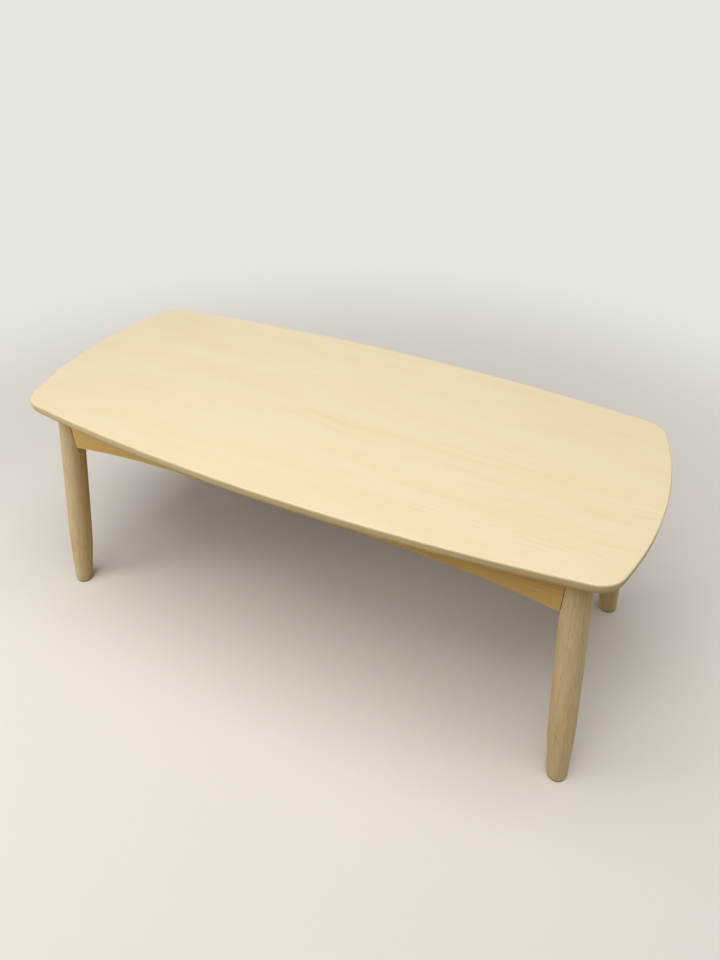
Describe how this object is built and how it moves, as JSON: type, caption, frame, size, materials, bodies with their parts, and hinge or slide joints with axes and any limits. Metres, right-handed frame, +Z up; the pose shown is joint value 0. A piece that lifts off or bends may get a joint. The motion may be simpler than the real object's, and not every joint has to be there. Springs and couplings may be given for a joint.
{
  "type": "low table",
  "caption": "Long low wooden table: a bowed veneered top with rounded edges on an arched apron frame and splayed, turned, tapering legs, for use while sitting on the floor.",
  "frame": {"origin": "on the floor under the middle of the table", "axes": "+X along the length, to the right of someone facing the front; +Y from front to rear; +Z up"},
  "size_m": [1, 0.4538, 0.405],
  "materials": {
    "top_veneer": "pale maple veneer, satin clear lacquer",
    "backing_veneer": "plain veneer, thin sealer",
    "core_board": "fibreboard",
    "edge_lipping": "solid maple, satin clear lacquer",
    "leg_wood": "solid rubberwood, turned, satin clear lacquer",
    "apron_wood": "solid rubberwood, planed, satin clear lacquer",
    "block_wood": "sawn hardwood, bare",
    "zinc_steel": "zinc plated",
    "felt": "pressed felt, beige"
  },
  "bodies": {
    "root": {"angle_brackets": "zinc_steel", "apron_front": "apron_wood", "apron_left": "apron_wood", "apron_rear": "apron_wood", "apron_right": "apron_wood", "backing_veneer": "backing_veneer", "block_screws": "zinc_steel", "bolt_nuts": "zinc_steel", "bolt_washers": "zinc_steel", "bracket_screws": "zinc_steel", "corner_block_front_left": "block_wood", "corner_block_front_right": "block_wood", "corner_block_rear_left": "block_wood", "corner_block_rear_right": "block_wood", "face_veneer": "top_veneer", "foot_pad_front_left": "felt", "foot_pad_front_right": "felt", "foot_pad_rear_left": "felt", "foot_pad_rear_right": "felt", "hanger_bolts": "zinc_steel", "leg_front_left": "leg_wood", "leg_front_right": "leg_wood", "leg_rear_left": "leg_wood", "leg_rear_right": "leg_wood", "lipping_front": "edge_lipping", "lipping_left": "edge_lipping", "lipping_rear": "edge_lipping", "lipping_right": "edge_lipping", "tabletop_core": "core_board", "top_screws": "zinc_steel"}
  },
  "joints": []
}
